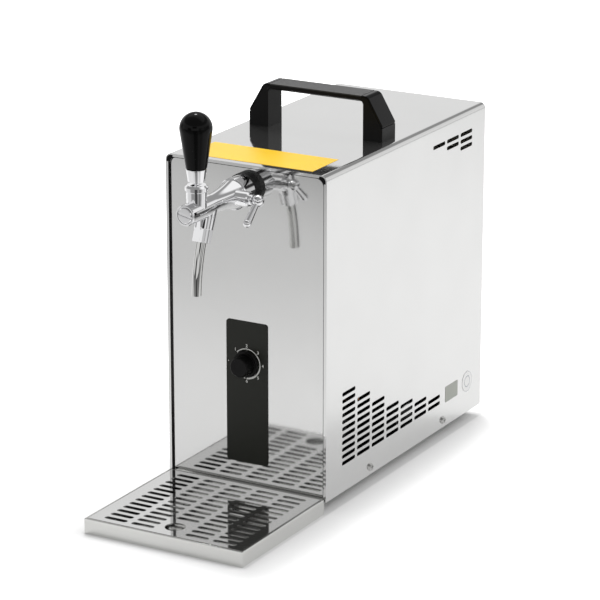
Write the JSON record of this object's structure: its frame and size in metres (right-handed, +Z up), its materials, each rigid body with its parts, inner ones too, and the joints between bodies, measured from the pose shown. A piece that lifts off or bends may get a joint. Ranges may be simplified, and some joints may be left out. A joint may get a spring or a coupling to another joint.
{
  "type": "draft beer dispenser",
  "caption": "Countertop draft beer cooler: polished steel box with carry handle, lever tap with flow compensator, thermostat dial and a loose drip tray",
  "frame": {"origin": "middle of the footprint of the casing, tray and rear fittings, on the counter", "axes": "+Z up, -Y towards the person who pours (tap and tray side), +X to that person's right"},
  "size_m": [0.1824, 0.507, 0.4093],
  "materials": {
    "polished_steel": "mirror polished stainless sheet",
    "chrome": "bright chrome plating",
    "plated_steel": "zinc plated steel",
    "gloss_black": "glossy moulded plastic",
    "satin_black": "satin moulded plastic",
    "black_plate": "satin black lacquer",
    "rubber": "matt rubber",
    "yellow_label": "smooth printed film",
    "grey_label": "printed film",
    "foam": "rigid foam",
    "aluminium": "cast aluminium",
    "copper": "drawn copper tube",
    "black_enamel": "black enamel",
    "white_plastic": "moulded plastic",
    "clear_hose": "soft tubing"
  },
  "bodies": {
    "casing": {"base_plate": "plated_steel", "rubber_feet": "rubber", "foot_screws": "plated_steel", "front_panel": "polished_steel", "front_trim": "satin_black", "casing_cover": "polished_steel", "rear_panel": "polished_steel", "cover_screws": "plated_steel", "rear_screws": "plated_steel", "carry_handle": "satin_black", "handle_caps": "gloss_black", "handle_screws": "plated_steel", "top_label": "yellow_label", "side_labels": "grey_label", "control_plate": "black_plate", "thermostat_body": "white_plastic", "thermostat_nut": "plated_steel", "thermostat_bulb": "copper", "tap_gasket": "rubber", "tap_shank": "chrome", "shank_nut": "plated_steel", "tap_coupling": "chrome", "tap_body": "chrome", "tap_plug": "chrome", "tap_spout": "chrome", "lever_bonnet": "chrome", "compensator_nut": "chrome", "inner_shelf": "plated_steel", "insulation_box": "foam", "insulation_lid": "foam", "cooling_block": "aluminium", "beer_coil": "plated_steel", "evaporator_pipe": "copper", "compressor": "black_enamel", "compressor_grommets": "rubber", "compressor_bolts": "plated_steel", "relay_box": "satin_black", "condenser_fins": "aluminium", "condenser_pipe": "black_enamel", "fan_shroud": "satin_black", "fan_motor": "plated_steel", "filter_drier": "copper", "refrigerant_pipes": "copper", "air_pump": "satin_black", "air_hose": "clear_hose", "hose_fittings": "white_plastic", "cable_gland": "satin_black"},
    "tray": {"drip_tray": "polished_steel"},
    "grille": {"drip_grille": "polished_steel"},
    "lever": {"tap_lever": "chrome", "lever_ferrule": "chrome", "tap_knob": "gloss_black"},
    "plunger": {"tap_plunger": "plated_steel", "plunger_seals": "rubber"},
    "compensator": {"compensator_lever": "chrome"},
    "cone": {"compensator_cone": "white_plastic"},
    "dial": {"thermostat_shaft": "plated_steel", "thermostat_knob": "satin_black"},
    "fan": {"fan_blades": "satin_black"}
  },
  "joints": [
    {"name": "lever_tilt", "type": "hinge", "parent": "casing", "child": "lever", "pos_m": [0, -0.1855, 0.331], "axis": [1, 0, 0], "range_deg": [-10, 18]},
    {"name": "plunger_slide", "type": "slide", "parent": "casing", "child": "plunger", "axis": [0, 1, 0], "range_m": [-0.0029, 0.0051]},
    {"name": "compensator_turn", "type": "hinge", "parent": "casing", "child": "compensator", "pos_m": [0, -0.1285, 0.315], "axis": [1, 0, 0], "range_deg": [-40, 40]},
    {"name": "cone_slide", "type": "slide", "parent": "casing", "child": "cone", "axis": [0, -1, 0], "range_m": [-0.0012, 0.0012]},
    {"name": "thermostat_turn", "type": "hinge", "parent": "casing", "child": "dial", "pos_m": [0, -0.1055, 0.139], "axis": [0, 1, 0], "range_deg": [0, 270]},
    {"name": "fan_spin", "type": "hinge", "parent": "casing", "child": "fan", "pos_m": [0, -0.0205, 0.0845], "axis": [0, 1, 0], "continuous": true},
    {"name": "tray_slide", "type": "slide", "parent": "casing", "child": "tray", "axis": [0, -1, 0], "range_m": [0, 0.1]},
    {"name": "grille_lift", "type": "slide", "parent": "tray", "child": "grille", "axis": [0, 0, 1], "range_m": [0, 0.06]}
  ],
  "couplings": [
    {"joint": "plunger_slide", "follows": "lever_tilt", "m_per_rad": 0.016},
    {"joint": "cone_slide", "follows": "compensator_turn", "m_per_rad": 0.0017}
  ]
}
